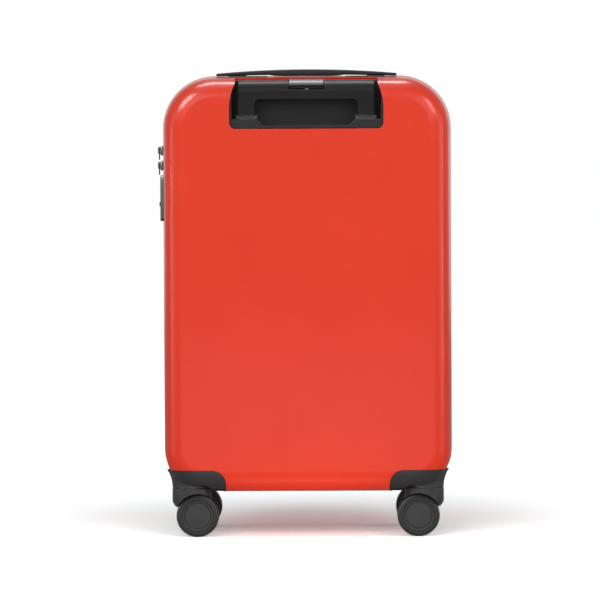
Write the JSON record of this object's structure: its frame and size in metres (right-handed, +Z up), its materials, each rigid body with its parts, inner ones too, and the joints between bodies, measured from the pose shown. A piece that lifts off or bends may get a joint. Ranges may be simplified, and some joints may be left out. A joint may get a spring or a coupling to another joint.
{
  "type": "hard shell suitcase on wheels",
  "caption": "Upright hard shell cabin suitcase with rounded corners, swivelling twin-wheel casters, a telescopic pull handle, a low carry handle, a zip and a dial lock.",
  "frame": {"origin": "on the floor, under the middle of the closed case", "axes": "+Z up, +Y from the back half with the pull handle to the front half, +X towards the hinge side; the zip pulls and lock are on the -X side"},
  "size_m": [0.3504, 0.2208, 0.55],
  "materials": {
    "shell": "fine pebbled matt",
    "black_plastic": "fine matt",
    "strap": "soft touch",
    "tab": "satin",
    "wheel": "satin",
    "zip_tape": "woven",
    "lining": "woven",
    "webbing": "woven webbing",
    "tube": "anodised satin",
    "steel": "zinc plated",
    "lock_metal": "satin",
    "slider_metal": "gloss black"
  },
  "bodies": {
    "back_half": {"back_shell": "shell", "back_lining": "lining", "back_zip_tape": "zip_tape", "back_zip_teeth": "black_plastic", "pull_handle_tray": "black_plastic", "outer_tubes": "tube", "tube_foot": "black_plastic", "carry_feet": "black_plastic", "carry_strap_ends": "strap", "lock_body": "lock_metal", "rear_left_housing": "black_plastic", "rear_right_housing": "black_plastic", "rear_swivel_pins": "steel", "rear_swivel_races": "steel", "back_screws": "steel", "packing_straps": "webbing", "strap_buckles": "black_plastic"},
    "front_half": {"front_shell": "shell", "front_lining": "lining", "front_zip_tape": "zip_tape", "front_zip_teeth": "black_plastic", "front_left_housing": "black_plastic", "front_right_housing": "black_plastic", "front_swivel_pins": "steel", "front_swivel_races": "steel", "front_screws": "steel"},
    "middle_stage": {"middle_tubes": "tube", "middle_tube_bushes": "black_plastic"},
    "pull_handle": {"inner_tubes": "tube", "inner_tube_bushes": "black_plastic", "pull_grip": "black_plastic", "button_spring": "steel"},
    "handle_button": {"grip_button": "black_plastic", "push_rods": "steel"},
    "lock_pins": {"tube_lock_pins": "steel"},
    "carry_handle": {"carry_grip": "strap"},
    "dial_1": {"lock_dial_1": "black_plastic"},
    "dial_2": {"lock_dial_2": "black_plastic"},
    "dial_3": {"lock_dial_3": "black_plastic"},
    "release": {"lock_release": "black_plastic"},
    "slider_upper": {"zip_slider_upper": "slider_metal"},
    "slider_lower": {"zip_slider_lower": "slider_metal"},
    "tab_upper": {"zip_tab_upper": "tab"},
    "tab_lower": {"zip_tab_lower": "tab"},
    "rear_left_caster": {"rear_left_fork": "black_plastic", "rear_left_axle": "steel"},
    "rear_left_roller_a": {"rear_left_wheel_a": "wheel"},
    "rear_left_roller_b": {"rear_left_wheel_b": "wheel"},
    "rear_right_caster": {"rear_right_fork": "black_plastic", "rear_right_axle": "steel"},
    "rear_right_roller_a": {"rear_right_wheel_a": "wheel"},
    "rear_right_roller_b": {"rear_right_wheel_b": "wheel"},
    "front_left_caster": {"front_left_fork": "black_plastic", "front_left_axle": "steel"},
    "front_left_roller_a": {"front_left_wheel_a": "wheel"},
    "front_left_roller_b": {"front_left_wheel_b": "wheel"},
    "front_right_caster": {"front_right_fork": "black_plastic", "front_right_axle": "steel"},
    "front_right_roller_a": {"front_right_wheel_a": "wheel"},
    "front_right_roller_b": {"front_right_wheel_b": "wheel"}
  },
  "joints": [
    {"name": "lid_hinge", "type": "hinge", "parent": "back_half", "child": "front_half", "pos_m": [0.174, 0, 0.3], "axis": [0, 0, -1], "range_deg": [0, 180]},
    {"name": "handle_stage_1", "type": "slide", "parent": "back_half", "child": "middle_stage", "axis": [0, 0, 1], "range_m": [0, 0.24]},
    {"name": "handle_stage_2", "type": "slide", "parent": "middle_stage", "child": "pull_handle", "axis": [0, 0, 1], "range_m": [0, 0.24]},
    {"name": "button_press", "type": "slide", "parent": "pull_handle", "child": "handle_button", "axis": [0, 0, -1], "range_m": [0, 0.004], "stiffness_N_per_m": 400, "springref_m": -0.004, "deforming": ["button_spring"]},
    {"name": "pins_retract", "type": "slide", "parent": "pull_handle", "child": "lock_pins", "axis": [0, -1, 0], "range_m": [0, 0.002]},
    {"name": "carry_lift", "type": "slide", "parent": "back_half", "child": "carry_handle", "axis": [0, 0, 1], "range_m": [0, 0.025], "deforming": ["carry_strap_ends"]},
    {"name": "upper_slider_run", "type": "slide", "parent": "back_half", "child": "slider_upper", "axis": [0, 0, 1], "range_m": [0, 0.02]},
    {"name": "lower_slider_run", "type": "slide", "parent": "back_half", "child": "slider_lower", "axis": [0, 0, 1], "range_m": [-0.32, 0]},
    {"name": "upper_tab_swing", "type": "hinge", "parent": "slider_upper", "child": "tab_upper", "pos_m": [-0.1759, 0, 0.457], "axis": [0, 1, 0], "range_deg": [0, 160]},
    {"name": "lower_tab_swing", "type": "hinge", "parent": "slider_lower", "child": "tab_lower", "pos_m": [-0.1759, 0, 0.439], "axis": [0, 1, 0], "range_deg": [0, 160]},
    {"name": "dial_1_turn", "type": "hinge", "parent": "back_half", "child": "dial_1", "pos_m": [-0.1676, -0.033, 0.413], "axis": [0, 0, 1], "continuous": true},
    {"name": "dial_2_turn", "type": "hinge", "parent": "back_half", "child": "dial_2", "pos_m": [-0.1676, -0.033, 0.406], "axis": [0, 0, 1], "continuous": true},
    {"name": "dial_3_turn", "type": "hinge", "parent": "back_half", "child": "dial_3", "pos_m": [-0.1676, -0.033, 0.399], "axis": [0, 0, 1], "continuous": true},
    {"name": "release_slide", "type": "slide", "parent": "back_half", "child": "release", "axis": [0, 0, -1], "range_m": [0, 0.003], "stiffness_N_per_m": 200, "springref_m": -0.003},
    {"name": "rear_left_swivel", "type": "hinge", "parent": "back_half", "child": "rear_left_caster", "pos_m": [-0.137, -0.076, 0.05], "axis": [0, 0, 1], "continuous": true},
    {"name": "rear_left_roll_a", "type": "hinge", "parent": "rear_left_caster", "child": "rear_left_roller_a", "pos_m": [-0.13, -0.08615, 0.025], "axis": [0, 1, 0], "continuous": true},
    {"name": "rear_left_roll_b", "type": "hinge", "parent": "rear_left_caster", "child": "rear_left_roller_b", "pos_m": [-0.13, -0.06585, 0.025], "axis": [0, 1, 0], "continuous": true},
    {"name": "rear_right_swivel", "type": "hinge", "parent": "back_half", "child": "rear_right_caster", "pos_m": [0.137, -0.076, 0.05], "axis": [0, 0, 1], "continuous": true},
    {"name": "rear_right_roll_a", "type": "hinge", "parent": "rear_right_caster", "child": "rear_right_roller_a", "pos_m": [0.13, -0.08615, 0.025], "axis": [0, 1, 0], "continuous": true},
    {"name": "rear_right_roll_b", "type": "hinge", "parent": "rear_right_caster", "child": "rear_right_roller_b", "pos_m": [0.13, -0.06585, 0.025], "axis": [0, 1, 0], "continuous": true},
    {"name": "front_left_swivel", "type": "hinge", "parent": "front_half", "child": "front_left_caster", "pos_m": [-0.137, 0.076, 0.05], "axis": [0, 0, 1], "continuous": true},
    {"name": "front_left_roll_a", "type": "hinge", "parent": "front_left_caster", "child": "front_left_roller_a", "pos_m": [-0.13, 0.08615, 0.025], "axis": [0, 1, 0], "continuous": true},
    {"name": "front_left_roll_b", "type": "hinge", "parent": "front_left_caster", "child": "front_left_roller_b", "pos_m": [-0.13, 0.06585, 0.025], "axis": [0, 1, 0], "continuous": true},
    {"name": "front_right_swivel", "type": "hinge", "parent": "front_half", "child": "front_right_caster", "pos_m": [0.137, 0.076, 0.05], "axis": [0, 0, 1], "continuous": true},
    {"name": "front_right_roll_a", "type": "hinge", "parent": "front_right_caster", "child": "front_right_roller_a", "pos_m": [0.13, 0.08615, 0.025], "axis": [0, 1, 0], "continuous": true},
    {"name": "front_right_roll_b", "type": "hinge", "parent": "front_right_caster", "child": "front_right_roller_b", "pos_m": [0.13, 0.06585, 0.025], "axis": [0, 1, 0], "continuous": true}
  ],
  "couplings": [
    {"joint": "pins_retract", "follows": "button_press", "ratio": 0.5}
  ]
}
